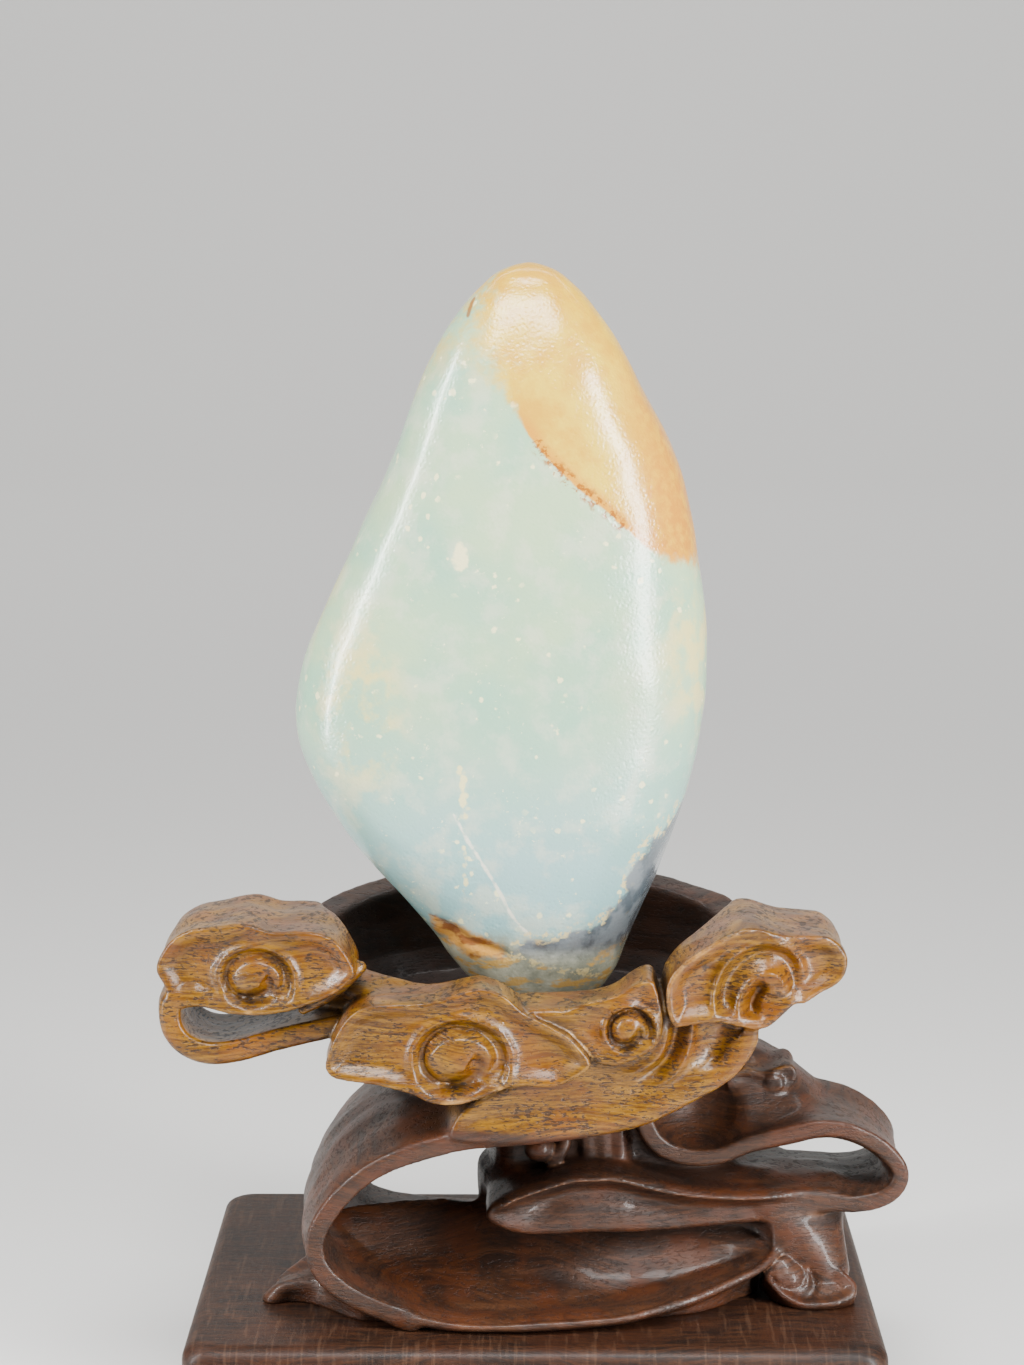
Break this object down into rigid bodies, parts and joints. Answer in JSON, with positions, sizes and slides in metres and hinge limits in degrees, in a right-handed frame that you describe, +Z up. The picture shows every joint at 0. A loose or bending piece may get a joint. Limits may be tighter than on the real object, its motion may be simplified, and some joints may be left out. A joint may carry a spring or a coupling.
{
  "type": "jade pebble on a carved wooden stand",
  "caption": "Upright celadon jade pebble with a honey skin, resting in the cup of a carved cloud-scroll wooden stand on a rectangular plinth.",
  "frame": {"origin": "middle of the plinth's underside", "axes": "+Z up through the pebble, +X to the viewer's right, +Y away from the viewer, who faces the carved cloud front"},
  "size_m": [0.1084, 0.0688, 0.1705],
  "materials": {
    "jade": "river-polished celadon nephrite with fine pits, a honey-orange skin at the upper right, cream specks and dark slate foot",
    "cloud_wood": "oiled and waxed carved hardwood, golden brown above and dark brown below, with dark pores and grain lines",
    "plinth_wood": "waxed dark brown hardwood with a softly rounded top edge"
  },
  "bodies": {
    "root": {"jade_pebble": "jade", "cloud_stand": "cloud_wood", "plinth": "plinth_wood"}
  },
  "joints": []
}
